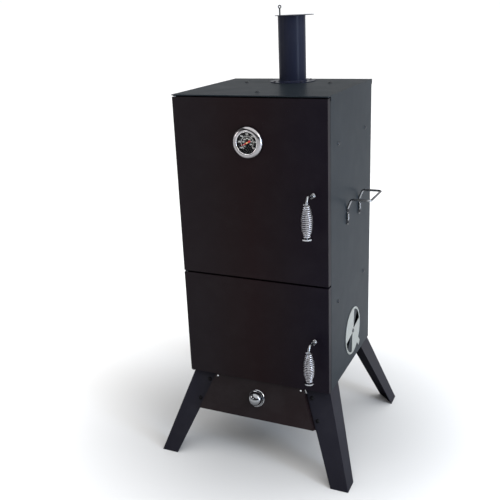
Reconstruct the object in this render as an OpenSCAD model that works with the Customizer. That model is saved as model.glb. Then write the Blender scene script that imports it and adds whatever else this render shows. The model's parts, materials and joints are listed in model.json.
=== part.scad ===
// Vertical water smoker: a two-door sheet-steel cabinet on four flared legs.
// Millimetres, +Z up, doors towards -Y, origin on the ground at the centre of the four feet.

/* [Cabinet] */
// Width across the side panels
cab_w = 406; // [330:1:520]
// Depth from the front frame to the back panel
cab_d = 356; // [290:1:440]
// Height of the side panels
cab_h = 764; // [640:1:960]
// Height of the cabinet's underside above the ground
leg_h = 234; // [180:1:300]
// Thickness of the sheet steel
sheet = 1.2; // [0.8:0.1:2]

/* [Doors] */
// Depth of the door pans
door_t = 18.5; // [15:0.5:26]
// Gap between the door pans and the front frame
door_gap = 1.5; // [1:0.1:3]
// Height of the lower door
lower_door_h = 293; // [240:1:360]
// Gap between the two doors
mid_gap = 5; // [4.6:0.1:10]
// How far each door opens, in degrees
door_open = 112; // [60:1:115]
// Width of the front frame's stiles
stile_w = 23; // [18:1:40]
// Height of the front frame's top and bottom rails
rail_h = 22; // [16:1:40]

/* [Door handles] */
// Distance from a handle's pivot to the door's free edge
pivot_inset = 37; // [33:1:60]
// Height of the upper handle's pivot above the ground
upper_pivot_z = 766; // [640:1:840]
// Height of the lower handle's pivot above the ground
lower_pivot_z = 382; // [370:1:430]
// Radius of the handle wire
handle_wire_r = 3; // [2:0.1:4]
// Length of the coiled grip
grip_len = 83; // [60:1:110]
// Largest radius of the coiled grip
grip_r = 14.4; // [9:0.1:18]

/* [Thermometer] */
// Outer radius of the bezel
bezel_r = 40; // [30:1:50]
// Height of the thermometer's centre above the ground
gauge_z = 887; // [840:1:930]
// Length of the probe behind the door
probe_len = 62; // [30:1:90]

/* [Chimney] */
// Outer radius of the chimney
flue_r = 37; // [28:1:46]
// Height of the chimney above the top cover
flue_h = 171; // [100:1:260]
// Distance from the back panel to the chimney's centre
flue_inset = 65; // [63:1:120]
// Radius of the chimney's lid
lid_r = 52; // [48:1:60]

/* [Air dampers] */
// Radius of the damper wheels
wheel_r = 68; // [50:1:74]
// Height of the wheels' centres above the cabinet's underside
wheel_up = 92; // [84:1:120]
// Distance from the front frame to the wheels' centres
wheel_back = 189; // [150:1:220]
// Angle of each of the two air openings, in degrees
sector = 69; // [40:1:76]
// How far the wheel's openings are turned past the cabinet's own at rest, in degrees
wheel_rest = 35.5; // [0:0.5:60]

/* [Legs] */
// How far each foot stands out sideways from its leg's top
flare_x = 78; // [40:1:110]
// How far each foot's corner is from the centre, front and back
foot_y = 258; // [220:1:320]
// Width of a leg's flanges at the top
leg_top_w = 69; // [50:1:80]
// Width of a leg's flanges at the foot
leg_foot_w = 48; // [34:1:60]
// Thickness of the leg plate
leg_t = 2; // [1.5:0.1:3]

/* [Carrying handles] */
// Distance between a side handle's two arms
carry_span = 108; // [80:1:160]
// How far a side handle stands out
carry_out = 62; // [45:1:80]
// Height of a side handle's bar above the cabinet's underside
carry_up = 486; // [420:1:520]

/* [Control panel] */
// Slope length of the control panel
panel_len = 109; // [90:1:130]
// How far the panel stands in front of the legs
panel_proud = 13; // [8:1:20]
// Radius of the control knob's skirt
knob_r = 21; // [16:0.5:26]

/* [Racks] */
// Heights of the rack ledges above the cabinet's underside
ledge_up = [166, 272, 368, 474, 572];
// Number of bars in a grate
bar_count = 15; // [9:2:21]
// Depth of the water pan
pan_depth = 52; // [30:1:70]

/* [Hidden] */
$fn = 64;

paint = "#2a2a2e";
chrome = "#c8ccd0";
zinc = "#a8aeb0";
iron = "#3a3836";

half_w = cab_w / 2;
inner_x = half_w - sheet;
front_y = -foot_y + 90;
back_y = front_y + cab_d;
base_z = leg_h;
roof_z = base_z + cab_h;
door_y = front_y - door_gap - door_t;

// doors
overhang_t = 2 * sheet;
tab_t = 1.5;
hinge_pin_r = 2.5;
hinge_clear = 0.08;
hinge_inset = 5;
hinge_x = -half_w + hinge_inset;
hinge_y = door_y + 6;
lower_door_z = base_z + tab_t + 1;
lower_door_top = lower_door_z + lower_door_h;
mid_tab_z = lower_door_top + (mid_gap - tab_t) / 2;
upper_door_z = lower_door_top + mid_gap;
upper_door_top = roof_z - overhang_t - tab_t - 0.8;

// handles
pivot_x = half_w - pivot_inset;
bush_clear = 0.06;
tail_len = 21;
tail_back = front_y + sheet + handle_wire_r + 0.8;

// damper and carrying handle
wheel_y = front_y + wheel_back;
wheel_z = base_z + wheel_up;
wheel_gap = 0.4;
wheel_t = 1.2;
hole_angle = 11;
hole_r = wheel_r - 6;
pivot_r = 3;

// legs: each front face slopes from the frame to the foot
leg_top_x = half_w - 5;
foot_x = leg_top_x + flare_x;
front_slope = atan((foot_y + front_y) / leg_h);
side_slope = atan(flare_x / leg_h);
rear_slope = atan((foot_y - back_y) / leg_h);
inner_top_x = leg_top_x - leg_top_w;
inner_foot_x = foot_x - leg_foot_w;

// control panel, in the sloping plane of the front legs
panel_side_gap = 3;
panel_top = 4.5;
knob_down = 53;

// chimney
flue_y = back_y - flue_inset;
cover_z = roof_z + sheet;
flue_top = cover_z + flue_h;
lid_gap = 0.5;
lid_t = 1.4;
rod_r = 2;
rod_from_axis = flue_r - sheet - 4.6;
rod_angle = 205;
rod_x = rod_from_axis * cos(rod_angle);
rod_y = flue_y + rod_from_axis * sin(rod_angle);
flange_r = flue_r + 25;

// racks
hanger_t = 1.5;
hanger_y = [front_y + 60, back_y - 60];
strip_w = 24;
ledge_w = 14;
ledge_x = inner_x - hanger_t;
rack_x = ledge_x - 4;
rack_y0 = front_y + 20;
rack_y1 = back_y - 20;
bolt_low = 232;
bolt_high = 644;

// ---- helpers ----

// Torus segment that leaves along +Z and turns towards +X
module bend(wire_r, bend_r, angle) {
  translate([bend_r, 0, 0])
    mirror([1, 0, 0])
      rotate([90, 0, 0])
        rotate_extrude(angle = angle)
          translate([bend_r, 0])
            circle(r = wire_r, $fn = 32);
}

// Bent wire: each step is [straight length, bend radius, bend angle, roll before the step].
// The bends are a hair thinner than the straights, which run a hair into them, so they join.
module wire(wire_r, steps, i = 0) {
  bend_slim = 0.02;
  run_in = 0.05;
  if (i < len(steps)) {
    s = steps[i];
    lead = i > 0 ? run_in : 0;
    tail = s[2] > 0 ? run_in : 0;
    rotate([0, 0, s[3]]) {
      translate([0, 0, -lead]) cylinder(r = wire_r, h = s[0] + lead + tail, $fn = 32);
      translate([0, 0, s[0]]) {
        if (s[2] > 0) bend(wire_r - bend_slim, s[1], s[2]);
        translate([s[1], 0, 0])
          rotate([0, s[2], 0])
            translate([-s[1], 0, 0])
              wire(wire_r, steps, i + 1);
      }
    }
  }
}

// Places its children on the doors' front plane, with local +Z out of the door
module on_door(x, z) {
  translate([x, door_y, z])
    rotate([90, 0, 0])
      children();
}

// Places its children on a side panel, with local +Z out of the cabinet and local X to the rear
module on_side(y, z) {
  translate([half_w, y, z])
    rotate([90, 0, 90])
      children();
}

// Repeats its children on the other side of the cabinet
module both_sides() {
  children();
  mirror([1, 0, 0]) children();
}

// Sloping plane of the front legs: local Y runs up the slope, local Z out to the front
module on_front_slope() {
  translate([0, front_y, base_z])
    rotate([90 - front_slope, 0, 0])
      children();
}

// Dome-headed bolt with its shank along -Z and a nut under a stack of the given thickness
module bolt(grip_t, shank_r = 3) {
  head_h = shank_r;
  intersection() {
    translate([0, 0, -shank_r * 1.2]) sphere(r = shank_r * 2.33, $fn = 48);
    cylinder(r = shank_r * 2, h = head_h + shank_r);
  }
  translate([0, 0, -grip_t - shank_r * 1.8]) cylinder(r = shank_r, h = grip_t + shank_r * 1.8 + 0.1);
  translate([0, 0, -grip_t - shank_r * 1.5]) cylinder(r = shank_r * 1.9, h = shank_r * 1.5, $fn = 6);
}

// Two opposed sector openings about the origin, centred on the given angle
module sectors(radius, centre, width) {
  steps = 10;
  for (turn = [0, 180])
    rotate(centre + turn)
      intersection() {
        difference() {
          circle(r = radius);
          circle(r = 9);
        }
        polygon([
          [6, 0],
          for (k = [0 : steps])
            let (a = -width / 2 + width * k / steps)
              [1.5 * radius * cos(a), 1.5 * radius * sin(a)]
        ]);
      }
}

// ---- cabinet ----

module side_panel() {
  difference() {
    translate([inner_x, front_y, base_z]) cube([sheet, cab_d, cab_h]);
    on_side(wheel_y, wheel_z)
      translate([0, 0, -sheet - 1]) {
        linear_extrude(sheet + 2) sectors(hole_r, hole_angle, sector);
        cylinder(r = pivot_r + 0.2, h = sheet + 2);
      }
    for (y = hanger_y, up = [bolt_low, bolt_high])
      on_side(y, base_z + up)
        translate([0, 0, -sheet - 1]) cylinder(r = 3.2, h = sheet + 2);
    for (y = carry_arms, up = carry_pads)
      on_side(y, base_z + up)
        translate([0, 0, -sheet - 1]) cylinder(r = 2.7, h = sheet + 2);
  }
}

module side_panel_right() {
  color(paint) side_panel();
}

module side_panel_left() {
  color(paint) mirror([1, 0, 0]) side_panel();
}

module back_panel() {
  color(paint)
    translate([-inner_x, back_y - sheet, base_z]) cube([2 * inner_x, sheet, cab_h]);
}

lip = 13;
top_bolt_xy = [[-120, back_y - 105], [120, back_y - 105], [0, front_y + 46]];

module top_cover() {
  color(paint)
    difference() {
      union() {
        translate([-half_w - sheet, front_y, roof_z]) cube([cab_w + 2 * sheet, cab_d + sheet, sheet]);
        translate([-half_w - sheet, door_y, roof_z + sheet - overhang_t])
          cube([cab_w + 2 * sheet, front_y - door_y, overhang_t]);
        both_sides()
          translate([half_w, front_y, roof_z + sheet - lip]) cube([sheet, cab_d + sheet, lip]);
        translate([-half_w - sheet, back_y, roof_z + sheet - lip]) cube([cab_w + 2 * sheet, sheet, lip]);
      }
      translate([0, flue_y, roof_z - 1]) cylinder(r = flue_r - 1, h = sheet + 2);
      for (p = top_bolt_xy)
        translate([p[0], p[1], roof_z - 1]) cylinder(r = 3.2, h = sheet + 2);
      for (a = [45 : 90 : 315])
        translate([0, flue_y, roof_z - 1])
          rotate(a)
            translate([flange_r - 8, 0, 0]) cylinder(r = 2.2, h = sheet + 2);
    }
}

burner_hole_r = 60;

module floor_pan() {
  color(paint)
    difference() {
      translate([-inner_x, front_y + sheet, base_z]) cube([2 * inner_x, cab_d - 2 * sheet, sheet]);
      translate([0, (front_y + back_y) / 2, base_z - 1]) cylinder(r = burner_hole_r, h = sheet + 2);
      leg_bolt_places() translate([0, 0, -1]) cylinder(r = 3.2, h = sheet + 2);
    }
}

module front_frame() {
  mid_rail_h = 24;
  lower_open_h = lower_door_top + mid_gap / 2 - mid_rail_h / 2 - base_z - rail_h;
  upper_open_z = lower_door_top + mid_gap / 2 + mid_rail_h / 2;
  color(paint)
    difference() {
      translate([-inner_x, front_y, base_z]) cube([2 * inner_x, sheet, cab_h]);
      translate([-half_w + stile_w, front_y - 1, base_z + rail_h])
        cube([cab_w - 2 * stile_w, sheet + 2, lower_open_h]);
      translate([-half_w + stile_w, front_y - 1, upper_open_z])
        cube([cab_w - 2 * stile_w, sheet + 2, roof_z - rail_h - upper_open_z]);
    }
}

// ---- hinges ----

tab_w = 17;

// Hinge tab with a rounded nose around the pin
module hinge_tab(z, thick) {
  color(paint)
    difference() {
      translate([0, 0, z])
        linear_extrude(thick)
          union() {
            translate([hinge_x, hinge_y]) circle(r = hinge_inset);
            translate([hinge_x - hinge_inset, hinge_y]) square([hinge_inset * 2, front_y - hinge_y]);
            translate([hinge_x - hinge_inset, front_y - 3]) square([tab_w, 3]);
          }
      translate([hinge_x, hinge_y, z - 1]) cylinder(r = hinge_pin_r, h = thick + 2);
    }
}

module top_hinge_tab() {
  hinge_tab(roof_z + sheet - overhang_t - tab_t, tab_t);
}

module middle_hinge_tab() {
  hinge_tab(mid_tab_z, tab_t);
}

module bottom_hinge_tab() {
  hinge_tab(base_z, tab_t);
}

module hinge_pins() {
  reach = 6;
  color(zinc) {
    translate([hinge_x, hinge_y, base_z]) cylinder(r = hinge_pin_r, h = tab_t + reach);
    translate([hinge_x, hinge_y, mid_tab_z - reach]) cylinder(r = hinge_pin_r, h = tab_t + 2 * reach);
    translate([hinge_x, hinge_y, upper_door_top - reach])
      cylinder(r = hinge_pin_r, h = roof_z + sheet - overhang_t - upper_door_top + reach);
  }
}

// ---- doors ----

// Door pan with its hinge bores in the top and bottom flanges
module door_pan(z0, z1) {
  difference() {
    translate([-half_w, door_y, z0]) cube([cab_w, door_t, z1 - z0]);
    translate([-half_w + sheet, door_y + sheet, z0 + sheet])
      cube([cab_w - 2 * sheet, door_t, z1 - z0 - 2 * sheet]);
    translate([hinge_x, hinge_y, z0 - 1]) cylinder(r = hinge_pin_r + hinge_clear, h = z1 - z0 + 2);
  }
}

module latch_hole(z) {
  on_door(pivot_x, z)
    translate([0, 0, -door_t]) cylinder(r = handle_wire_r + 0.6, h = door_t + 1);
}

module upper_door() {
  color(paint)
    difference() {
      door_pan(upper_door_z, upper_door_top);
      latch_hole(upper_pivot_z);
      on_door(0, gauge_z) translate([0, 0, -sheet - 1]) cylinder(r = 5.2, h = sheet + 2);
    }
}

module lower_door() {
  color(paint)
    difference() {
      door_pan(lower_door_z, lower_door_top);
      latch_hole(lower_pivot_z);
    }
}

// ---- latches ----

bush_t = 2.4;
bush_r = 5.6;

module latch_bush(z) {
  color(chrome)
    on_door(pivot_x, z)
      difference() {
        union() {
          cylinder(r = bush_r, h = bush_t);
          translate([0, 0, bush_t]) cylinder(r1 = bush_r, r2 = bush_r - 1, h = 0.8);
        }
        translate([0, 0, -1]) cylinder(r = handle_wire_r + bush_clear, h = bush_t + 4);
      }
}

arch_out = 16;
rise_angle = 25;
rise_r = 12;
rise_len = 12;
arch_r = 10;
fall_angle = 60;
fall_len = 6;
grip_start = 1.5;
tail_bend = 7;

// Wire through the door: tail inside, arched neck outside, straight core inside the grip
module latch_rod(z) {
  through = tail_back - door_y - tail_bend;
  color(chrome)
    translate([pivot_x, tail_back, z + tail_len])
      rotate([0, 180, 90])
        wire(handle_wire_r, [
          [tail_len - tail_bend, tail_bend, 90, 0],
          [through + arch_out, rise_r, rise_angle, 0],
          [rise_len, arch_r, rise_angle + fall_angle, 180],
          [fall_len, arch_r, 90 - fall_angle, 0],
          [grip_start + grip_len + 1, 0, 0, 0]
        ]);
}

neck_out = arch_out + rise_r * sin(rise_angle) + rise_len * cos(rise_angle)
  + arch_r * (1 + sin(rise_angle)) + fall_len * cos(fall_angle);
neck_y = door_y - neck_out;
neck_drop = rise_r * (1 - cos(rise_angle)) + rise_len * sin(rise_angle)
  - arch_r * cos(rise_angle) - fall_len * sin(fall_angle);

// Barrel that holds the space of the coiled grip
module grip(z) {
  bore_r = handle_wire_r + 0.3;
  color(chrome)
    translate([pivot_x, neck_y, z + neck_drop - grip_start - grip_len])
      rotate_extrude()
        polygon([
          [bore_r, 0],
          [grip_r * 0.64, 0],
          [grip_r * 0.68, grip_len * 0.13],
          [grip_r * 0.85, grip_len * 0.20],
          [grip_r * 0.98, grip_len * 0.38],
          [grip_r, grip_len * 0.50],
          [grip_r, grip_len * 0.62],
          [grip_r * 0.79, grip_len * 0.82],
          [grip_r * 0.66, grip_len * 0.94],
          [grip_r * 0.56, grip_len],
          [bore_r, grip_len]
        ]);
}

module grip_cap(z) {
  cap_t = 4;
  cap_r = 12;
  color(chrome)
    translate([pivot_x, neck_y, z + neck_drop - grip_start - grip_len - cap_t])
      difference() {
        union() {
          translate([0, 0, 1]) cylinder(r = cap_r, h = cap_t - 1);
          cylinder(r1 = cap_r - 1, r2 = cap_r, h = 1);
        }
        translate([0, 0, cap_t - 1]) cylinder(r = handle_wire_r, h = 2);
      }
}

module upper_latch_bush() {
  latch_bush(upper_pivot_z);
}

module lower_latch_bush() {
  latch_bush(lower_pivot_z);
}

module upper_latch_rod() {
  latch_rod(upper_pivot_z);
}

module lower_latch_rod() {
  latch_rod(lower_pivot_z);
}

module upper_grip() {
  grip(upper_pivot_z);
}

module lower_grip() {
  grip(lower_pivot_z);
}

module upper_grip_cap() {
  grip_cap(upper_pivot_z);
}

module lower_grip_cap() {
  grip_cap(lower_pivot_z);
}

// ---- thermometer ----

gauge_h = 11;
window_r = bezel_r * 0.72;
dial_z = 4;
dial_t = 0.8;
needle_z = dial_z + dial_t + 0.5;
needle_t = 0.5;
glass_z = needle_z + needle_t + 0.8;
glass_t = 1.5;

module thermometer_bezel() {
  color(chrome)
    on_door(0, gauge_z)
      rotate_extrude()
        polygon([
          [5, 0],
          [bezel_r, 0],
          [bezel_r, 2],
          [bezel_r - 1.5, 3.5],
          [window_r + 2.5, gauge_h - 0.6],
          [window_r + 1, gauge_h],
          [window_r - 1, gauge_h],
          [window_r - 1, glass_z + glass_t],
          [window_r, glass_z + glass_t],
          [window_r, dial_z],
          [5, dial_z]
        ]);
}

module thermometer_dial() {
  color("#202022")
    on_door(0, gauge_z)
      translate([0, 0, dial_z])
        difference() {
          cylinder(r = window_r, h = dial_t);
          translate([0, 0, -1]) cylinder(r = 1.06, h = dial_t + 2);
        }
}

module thermometer_glass() {
  color("#dfe6ea", 0.3)
    on_door(0, gauge_z)
      translate([0, 0, glass_z]) cylinder(r = window_r, h = glass_t);
}

// Probe, threaded neck and nut; the neck passes through the door and the bezel's base
module thermometer_stem() {
  neck_r = 5;
  nut_t = 5;
  color(zinc)
    on_door(0, gauge_z) {
      translate([0, 0, -sheet - nut_t - 4]) cylinder(r = neck_r, h = sheet + nut_t + 4 + dial_z - 0.4);
      translate([0, 0, -sheet - nut_t]) cylinder(r = 10, h = nut_t, $fn = 6);
      translate([0, 0, -probe_len]) cylinder(r = 2.6, h = probe_len - sheet - nut_t);
      translate([0, 0, -probe_len]) sphere(r = 2.6, $fn = 32);
    }
}

// Pointer at the scale's low end, with its own spindle
module thermometer_needle() {
  low_end = 207;
  tip = window_r - 8;
  tail = 10;
  color("#b02018")
    on_door(0, gauge_z) {
      translate([0, 0, needle_z])
        rotate(low_end)
          linear_extrude(needle_t)
            polygon([[tip, 0], [0, 1.6], [-tail, 2.6], [-tail, -2.6], [0, -1.6]]);
      translate([0, 0, dial_z + 0.1]) cylinder(r = 1, h = needle_z - dial_z + needle_t + 0.1, $fn = 32);
    }
}

// ---- racks and pans ----

module rack_hanger() {
  strip_z = 150;
  strip_top = 656;
  difference() {
    union() {
      for (y = hanger_y)
        translate([ledge_x, y - strip_w / 2, base_z + strip_z])
          cube([hanger_t, strip_w, strip_top - strip_z]);
      for (up = ledge_up) {
        translate([ledge_x - ledge_w, rack_y0, base_z + up - hanger_t])
          cube([ledge_w + hanger_t, rack_y1 - rack_y0, hanger_t]);
        translate([ledge_x, rack_y0, base_z + up - 10]) cube([hanger_t, rack_y1 - rack_y0, 10]);
      }
    }
    for (y = hanger_y, up = [bolt_low, bolt_high])
      on_side(y, base_z + up)
        translate([0, 0, -10]) cylinder(r = 3.2, h = 12);
  }
}

module rack_hanger_right() {
  color(zinc) rack_hanger();
}

module rack_hanger_left() {
  color(zinc) mirror([1, 0, 0]) rack_hanger();
}

// Dome-headed bolts that hold the rack hangers and close the top cover's holes
module panel_bolts() {
  color(paint) {
    both_sides()
      for (y = hanger_y, up = [bolt_low, bolt_high])
        on_side(y, base_z + up) bolt(sheet + hanger_t);
    for (p = top_bolt_xy)
      translate([p[0], p[1], cover_z]) bolt(sheet);
  }
}

frame_wire = 3;
bar_wire = 2.2;

// Wire grate: three cross wires carry the bars, which run front to back
module grate(up) {
  z = base_z + up + frame_wire;
  bar_pitch = 2 * (rack_x - 10) / (bar_count - 1);
  color(chrome)
    union() {
      for (y = [rack_y0 + 14, (rack_y0 + rack_y1) / 2, rack_y1 - 14])
        translate([-rack_x, y, z])
          rotate([0, 90, 0]) cylinder(r = frame_wire, h = 2 * rack_x, $fn = 24);
      for (k = [0 : bar_count - 1])
        translate([-(rack_x - 10) + k * bar_pitch, rack_y0 + 4, z + frame_wire + bar_wire - 0.8])
          rotate([-90, 0, 0]) cylinder(r = bar_wire, h = rack_y1 - rack_y0 - 8, $fn = 24);
    }
}

module chip_box_rack() {
  grate(ledge_up[0]);
}

module cooking_grate_bottom() {
  grate(ledge_up[2]);
}

module cooking_grate_middle() {
  grate(ledge_up[3]);
}

module cooking_grate_top() {
  grate(ledge_up[4]);
}

module water_pan() {
  wall = 1;
  rim_x = rack_x;
  pan_x = ledge_x - ledge_w - 6;
  pan_y = (rack_y1 - rack_y0) / 2 - 14;
  mid_y = (rack_y0 + rack_y1) / 2;
  z = base_z + ledge_up[1];
  color(paint)
    difference() {
      union() {
        translate([-rim_x, mid_y - pan_y - 8, z]) cube([2 * rim_x, 2 * pan_y + 16, wall]);
        translate([-pan_x, mid_y - pan_y, z - pan_depth]) cube([2 * pan_x, 2 * pan_y, pan_depth]);
      }
      translate([-pan_x + wall, mid_y - pan_y + wall, z - pan_depth + wall])
        cube([2 * (pan_x - wall), 2 * (pan_y - wall), pan_depth + 1]);
    }
}

chip_x = 110;
chip_y = 75;
chip_h = 34;
chip_z = base_z + ledge_up[0] + 2 * frame_wire + 2 * bar_wire - 0.8;

module chip_box() {
  wall = 1.5;
  mid_y = (rack_y0 + rack_y1) / 2;
  color(iron)
    difference() {
      translate([-chip_x, mid_y - chip_y, chip_z]) cube([2 * chip_x, 2 * chip_y, chip_h]);
      translate([-chip_x + wall, mid_y - chip_y + wall, chip_z + wall])
        cube([2 * (chip_x - wall), 2 * (chip_y - wall), chip_h]);
    }
}

module chip_box_lid() {
  mid_y = (rack_y0 + rack_y1) / 2;
  overlap = 3;
  color(iron)
    difference() {
      translate([-chip_x - overlap, mid_y - chip_y - overlap, chip_z + chip_h])
        cube([2 * (chip_x + overlap), 2 * (chip_y + overlap), 1.5]);
      for (k = [-2 : 2], side = [-1, 1])
        translate([k * 36, mid_y + side * 32, chip_z + chip_h - 1]) cylinder(r = 7, h = 4);
    }
}

// ---- burner and gas control ----

burner_z = base_z + 30;
mix_r = 11;
burner_r = 58;
mid_y = (front_y + back_y) / 2;
valve_y = front_y + 2;
valve_z = base_z - 58;
mouth_r = 15;
mouth_len = 20;

// Cast ring with a cross bar, a riser through the floor and a mixing tube towards the valve
module burner() {
  color(iron)
    difference() {
      union() {
        translate([0, mid_y, burner_z - 8])
          rotate_extrude()
            translate([burner_r - 11, 0]) square([22, 16]);
        translate([-burner_r + 4, mid_y - mix_r, burner_z - 8]) cube([2 * burner_r - 8, 2 * mix_r, 14]);
        translate([0, mid_y, valve_z - mix_r - 1])
          cylinder(r = mix_r + 0.8, h = burner_z - valve_z + mix_r - 1);
        translate([0, mid_y, valve_z])
          rotate([90, 0, 0]) cylinder(r = mix_r, h = mid_y - valve_y - mouth_len + 2);
        translate([0, valve_y + mouth_len, valve_z])
          rotate([90, 0, 0]) cylinder(r = mouth_r, h = mouth_len);
      }
      translate([0, valve_y + mouth_len - 2, valve_z])
        rotate([90, 0, 0]) cylinder(r = mouth_r - 2, h = mouth_len);
      for (a = [0 : 15 : 345])
        translate([0, mid_y, burner_z + 4])
          rotate(a)
            translate([burner_r, 0, 0]) cylinder(r = 1.6, h = 6, $fn = 16);
    }
}

// Strap across the floor opening that carries the burner's ring
module burner_bracket() {
  strap_w = 20;
  post_h = burner_z - 8 - base_z - sheet;
  color(zinc)
    for (side = [-1, 1]) {
      translate([side * (burner_r - 1) - 6, mid_y - strap_w / 2, base_z + sheet + 2])
        cube([12, strap_w, post_h - 2]);
      translate([side > 0 ? burner_r - 7 : -burner_r - 35, mid_y - strap_w / 2, base_z + sheet])
        cube([42, strap_w, 2]);
    }
}

stem_r = 4;

// Local frame on the control panel's face at the knob: +Z out to the front
module at_knob() {
  on_front_slope()
    translate([0, -knob_down, panel_proud])
      children();
}

module gas_valve() {
  body_h = 20;
  color("#b08a3c")
    at_knob()
      difference() {
        union() {
          translate([-13, -13, -sheet - 6 - body_h]) cube([26, 26, body_h]);
          translate([0, 0, -sheet - 6 - 4]) cylinder(r = 8, h = 10);
          translate([0, 0, -sheet - 6 - body_h - 14]) cylinder(r = 4, h = 15);
          translate([13, 0, -sheet - 18])
            rotate([0, 90, 0]) cylinder(r = 6, h = 22);
        }
        translate([0, 0, -sheet - 20]) cylinder(r = stem_r + 0.05, h = 24);
        translate([20, 0, -sheet - 18])
          rotate([0, 90, 0]) cylinder(r = 3.4, h = 20);
      }
}

module valve_stem() {
  color("#b08a3c")
    at_knob()
      translate([0, 0, -sheet - 18]) cylinder(r = stem_r, h = sheet + 18 + 10);
}

module knob_bezel() {
  color(chrome)
    at_knob()
      difference() {
        union() {
          cylinder(r = knob_r + 2, h = 1);
          translate([0, 0, 1]) cylinder(r1 = knob_r + 2, r2 = knob_r + 1, h = 0.8);
        }
        translate([0, 0, -1]) cylinder(r = stem_r + 2, h = 4);
      }
}

// Domed knob on a skirt, hollow where the stem enters, with an index rib on the skirt
module control_knob() {
  skirt_h = 3;
  dome_r = knob_r - 2;
  color(chrome)
    at_knob()
      translate([0, 0, 2.3])
        difference() {
          union() {
            cylinder(r = knob_r, h = skirt_h);
            translate([0, 0, skirt_h]) cylinder(r = dome_r, h = 4);
            translate([0, 0, skirt_h + 4])
              intersection() {
                sphere(r = dome_r, $fn = 96);
                cylinder(r = dome_r + 1, h = dome_r - 4);
              }
            translate([-1, dome_r - 3, skirt_h - 0.5]) cube([2, 5, 2]);
          }
          translate([0, 0, -1]) cylinder(r = stem_r, h = 8.7);
        }
}

panel_back = -leg_t - sheet;

// Half-width of the gap between the front legs at a distance down the slope
function leg_gap_x(down) = inner_top_x + (inner_foot_x - inner_top_x) * down * cos(front_slope) / leg_h;

// Outline of the panel's face, drawn in by the given inset
module panel_outline(inset, top, bottom) {
  polygon([
    [leg_gap_x(top) - panel_side_gap - inset, -top],
    [leg_gap_x(bottom) - panel_side_gap - inset, -bottom],
    [-leg_gap_x(bottom) + panel_side_gap + inset, -bottom],
    [-leg_gap_x(top) + panel_side_gap + inset, -top]
  ]);
}

// Hat-shaped panel: proud face, side walls through the gap, ears behind the legs
module control_panel() {
  ear_w = 28;
  color(paint)
    difference() {
      union() {
        on_front_slope()
          difference() {
            translate([0, 0, panel_back])
              linear_extrude(panel_proud - panel_back) panel_outline(0, panel_top, panel_len);
            translate([0, 0, panel_back - 1])
              linear_extrude(panel_proud - panel_back + 1 - sheet)
                panel_outline(sheet, panel_top + sheet, panel_len - sheet);
          }
        on_front_slope()
          both_sides()
            translate([0, 0, panel_back])
              linear_extrude(sheet)
                polygon([
                  [leg_gap_x(18) - panel_side_gap - sheet, -18],
                  [leg_gap_x(18) + ear_w, -18],
                  [leg_gap_x(panel_len) + ear_w, -panel_len],
                  [leg_gap_x(panel_len) - panel_side_gap - sheet, -panel_len]
                ]);
      }
      at_knob() translate([0, 0, -sheet - 1]) cylinder(r = stem_r + 1.5, h = sheet + 2);
      panel_bolt_places() translate([0, 0, -10]) cylinder(r = 3.2, h = 12);
    }
}

panel_bolt_down = [27, 84];

// Bolts through the front legs' flanges and the control panel's ears
module panel_bolt_places() {
  on_front_slope()
    both_sides()
      for (down = panel_bolt_down)
        translate([leg_gap_x(down) + 12.5, -down, 0])
          children();
}

// ---- legs ----

// Bolts through a leg's top plate and the floor pan
module leg_bolt_places() {
  both_sides() {
    translate([leg_top_x - 14, front_y + 40, base_z]) children();
    translate([leg_top_x - 40, front_y + 14, base_z]) children();
    translate([leg_top_x - 14, back_y - 40, base_z]) children();
    translate([leg_top_x - 40, back_y - 14, base_z]) children();
  }
}

past_ground = 1.01;

// Carries a line from a through b a little further, so that the foot can be cut level
function run_on(a, b) = a + (b - a) * past_ground;

// Flange that faces the side: its plane holds the leg's corner line and runs to the inside
module leg_side_flange(top_y, end_y, dir) {
  reach = leg_h / cos(side_slope);
  translate([leg_top_x, 0, base_z])
    rotate([0, -side_slope, 0])
      rotate([90, 0, 90])
        translate([0, 0, -leg_t])
          linear_extrude(leg_t)
            polygon([
              [top_y + dir, 0],
              [top_y + dir * leg_top_w, 0],
              [run_on(top_y + dir * leg_top_w, end_y + dir * leg_foot_w), -reach * past_ground],
              [run_on(top_y + dir, end_y + dir), -reach * past_ground]
            ]);
}

// Flange that faces the front or the back, in a plane that slopes by the given angle
module leg_face_flange(slope) {
  reach = leg_h / cos(slope);
  translate([0, 0, -leg_t])
    linear_extrude(leg_t)
      polygon([
        [leg_top_x, 0],
        [inner_top_x, 0],
        [run_on(inner_top_x, inner_foot_x), -reach * past_ground],
        [run_on(leg_top_x, foot_x), -reach * past_ground]
      ]);
}

// Triangular plate between the two flanges
module leg_plate(x, y, dir, w, z, thick) {
  translate([0, 0, z])
    linear_extrude(thick)
      polygon([[x, y], [x - w, y], [x, y + dir * w]]);
}

// Keeps what stands between the ground and the cabinet's underside
module trim_leg() {
  intersection() {
    children();
    translate([0, -foot_y - 1, 0]) cube([foot_x + 2, 2 * foot_y + 2, leg_h]);
  }
}

module front_leg() {
  difference() {
    trim_leg()
      union() {
        translate([0, front_y, base_z])
          rotate([90 - front_slope, 0, 0]) leg_face_flange(front_slope);
        leg_side_flange(front_y, -foot_y, 1);
        leg_plate(leg_top_x - 1, front_y + 1, 1, leg_top_w - 2, leg_h - leg_t, leg_t);
        leg_plate(foot_x - 2, 2 - foot_y, 1, leg_foot_w - 4, 0, 3);
      }
    panel_bolt_places() translate([0, 0, -10]) cylinder(r = 3.2, h = 12);
    leg_bolt_places() translate([0, 0, -leg_t - 1]) cylinder(r = 3.2, h = leg_t + 2);
  }
}

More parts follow.
